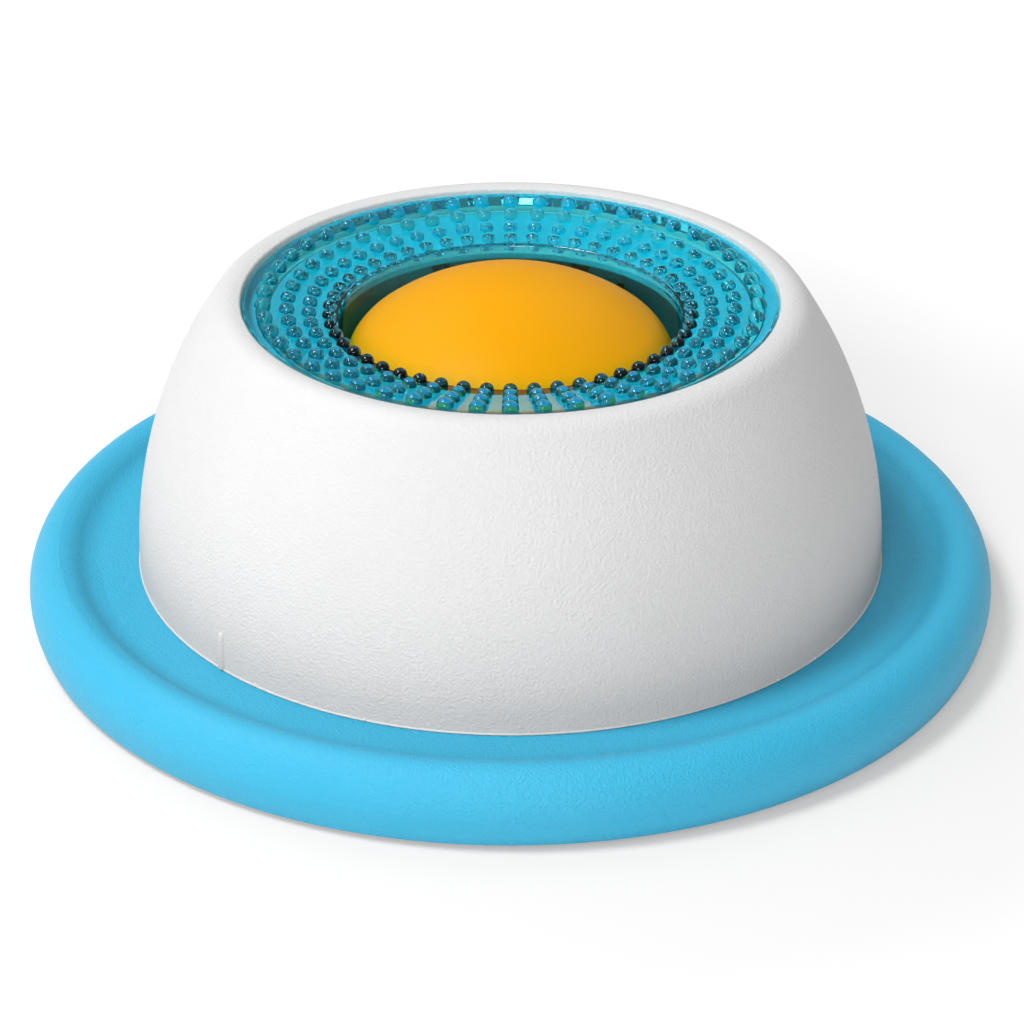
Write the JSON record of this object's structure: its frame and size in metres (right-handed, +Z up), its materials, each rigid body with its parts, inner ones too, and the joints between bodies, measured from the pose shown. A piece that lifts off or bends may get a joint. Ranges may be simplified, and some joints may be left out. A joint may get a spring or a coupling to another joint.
{
  "type": "treat dispensing dog toy",
  "caption": "Press-to-feed dog toy: domed body in a rimmed tray, nubbed see-through lid ring, and a sprung dome button that turns a metering rotor to drop treats.",
  "frame": {"origin": "on the ground under the middle of the tray, at the bottom centre of the bounding box", "axes": "+Z up along the dome's axis; +Y towards the treat outlet at the back; -Y is the pictured front"},
  "size_m": [0.2, 0.2, 0.0722],
  "materials": {
    "tray_blue": "satin, finely textured",
    "body_white": "matt, finely textured",
    "ring_teal": "clear, glossy",
    "dome_yellow": "satin",
    "inner_white": "plain moulded",
    "rotor_grey": "plain moulded",
    "screw_steel": "zinc plated",
    "spring_steel": "bright wire",
    "foot_rubber": "matt",
    "gasket_silicone": "matt, translucent"
  },
  "bodies": {
    "base": {"base_tray": "tray_blue", "anti_slip_feet": "foot_rubber", "tray_screws": "screw_steel", "outer_shell": "body_white", "chassis_plate": "inner_white", "shell_screws": "screw_steel", "guide_barrel": "inner_white", "barrel_screws": "screw_steel", "barrel_cap": "inner_white", "return_spring": "spring_steel", "thrust_washer": "inner_white", "hopper_deck": "inner_white", "deck_screws": "screw_steel", "hopper_wall": "inner_white", "hopper_funnel": "inner_white", "drop_shield": "inner_white", "shield_screws": "screw_steel", "wiper_strip": "foot_rubber", "treat_chute": "inner_white"},
    "button": {"dome_button": "dome_yellow", "dome_screw": "screw_steel", "plunger": "inner_white"},
    "rotor": {"metering_rotor": "rotor_grey", "stirring_fins": "rotor_grey", "drive_pins": "spring_steel"},
    "lid": {"nub_ring": "ring_teal", "lid_liner": "inner_white", "lid_gasket": "gasket_silicone"}
  },
  "joints": [
    {"name": "button_press", "type": "slide", "parent": "base", "child": "button", "axis": [0, 0, -1], "range_m": [0, 0.01], "stiffness_N_per_m": 500, "springref_m": -0.008, "deforming": ["return_spring"]},
    {"name": "rotor_turn", "type": "hinge", "parent": "base", "child": "rotor", "pos_m": [0, 0, 0.032], "axis": [0, 0, 1], "range_deg": [0, 60]},
    {"name": "lid_lift", "type": "slide", "parent": "base", "child": "lid", "axis": [0, 0, 1], "range_m": [0, 0.045]}
  ],
  "couplings": [
    {"joint": "rotor_turn", "follows": "button_press", "rad_per_m": 104.72}
  ]
}
